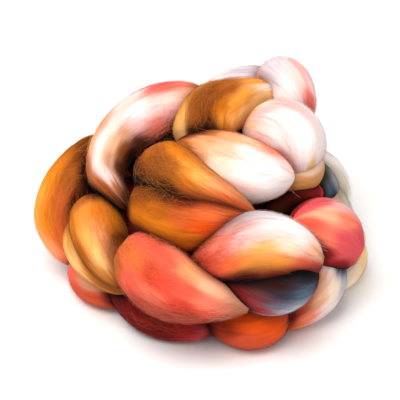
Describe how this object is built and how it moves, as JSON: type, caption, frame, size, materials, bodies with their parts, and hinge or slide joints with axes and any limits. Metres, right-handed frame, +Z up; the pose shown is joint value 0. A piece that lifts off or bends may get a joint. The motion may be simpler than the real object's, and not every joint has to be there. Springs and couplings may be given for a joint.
{
  "type": "wool roving",
  "caption": "Hand-dyed combed wool roving, chained into a soft plump braid and coiled into a loose heap that rests on its own flattened underside.",
  "frame": {"origin": "on the resting plane, in the middle of the flattened spot under the heap", "axes": "+Z up out of the resting plane, +X to the right along the heap's longest extent, -Y towards the front with the open chain folds"},
  "size_m": [0.2125, 0.1918, 0.1257],
  "materials": {
    "wool": "matt, fuzzy, dyed in soft-edged zones of white, coral, gold, orange, raspberry and blue-black"
  },
  "bodies": {
    "root": {"roving": "wool"}
  },
  "joints": []
}
